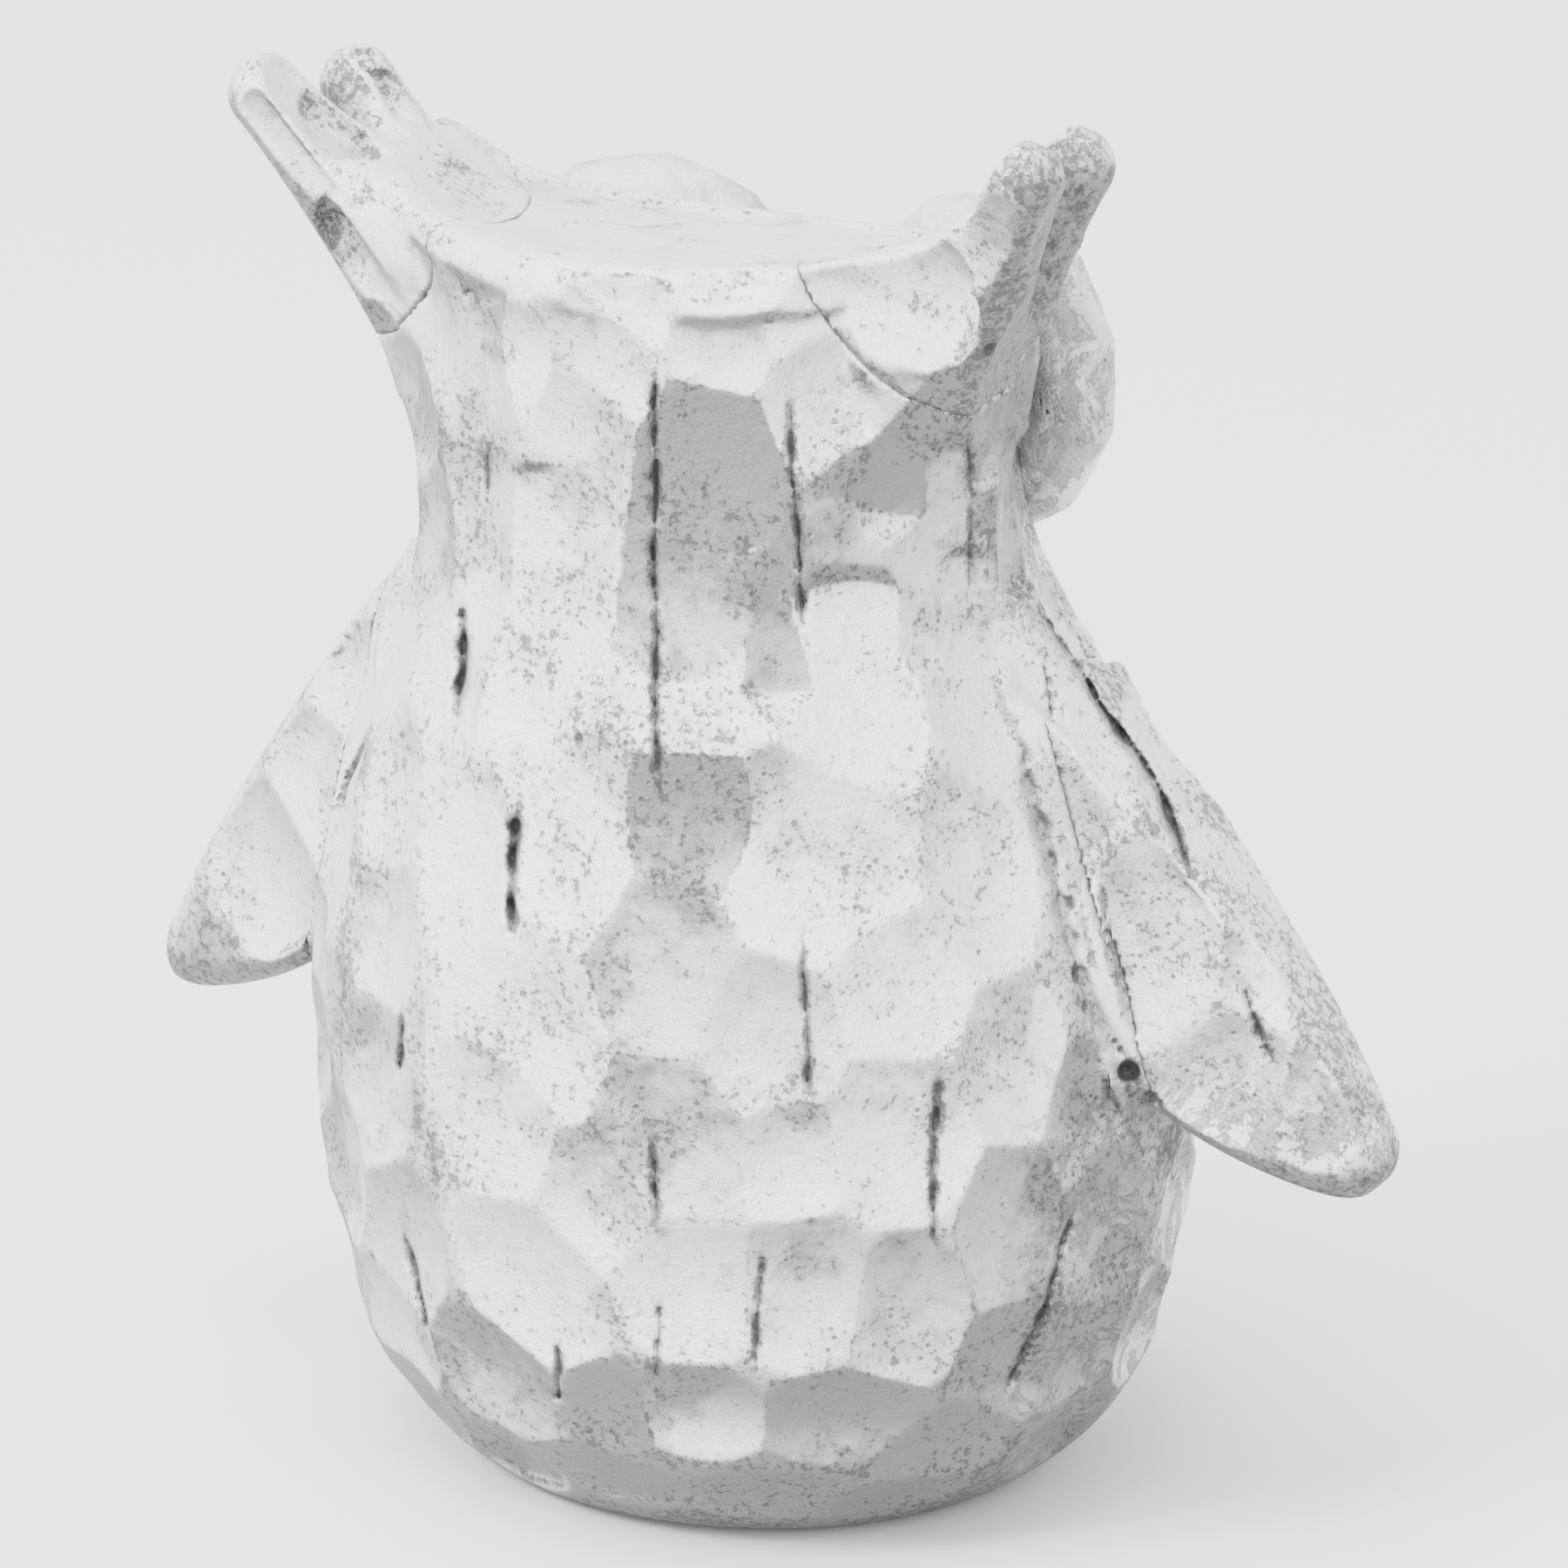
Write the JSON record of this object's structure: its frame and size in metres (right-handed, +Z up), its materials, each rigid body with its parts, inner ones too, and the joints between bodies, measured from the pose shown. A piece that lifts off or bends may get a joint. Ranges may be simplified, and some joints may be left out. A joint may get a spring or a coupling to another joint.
{
  "type": "owl ornament",
  "caption": "Standing owl ornament with a gouged, silver-leafed hollow body, swept ear tufts, half-open wings, round eye discs and a hooked beak.",
  "frame": {"origin": "centre of the underside of the felt pad, where the ornament stands", "axes": "+Z up, the face looks along -Y, and the owl's own left wing is on +X"},
  "size_m": [0.3062, 0.1803, 0.3208],
  "materials": {
    "silver_leaf": "satin",
    "darkened_leaf": "satin",
    "bare_casting": "matte",
    "plug_rubber": "matte",
    "felt": "matte",
    "pin_steel": "satin"
  },
  "bodies": {
    "root": {"body_shell": "silver_leaf", "left_ear_tuft": "silver_leaf", "right_ear_tuft": "silver_leaf", "left_wing": "silver_leaf", "right_wing": "silver_leaf", "left_eye_disc": "silver_leaf", "right_eye_disc": "silver_leaf", "left_pupil": "darkened_leaf", "right_pupil": "darkened_leaf", "beak": "silver_leaf", "base_plate": "bare_casting", "vent_plug": "plug_rubber", "felt_pad": "felt", "wing_pins": "pin_steel", "ear_pins": "pin_steel"}
  },
  "joints": []
}
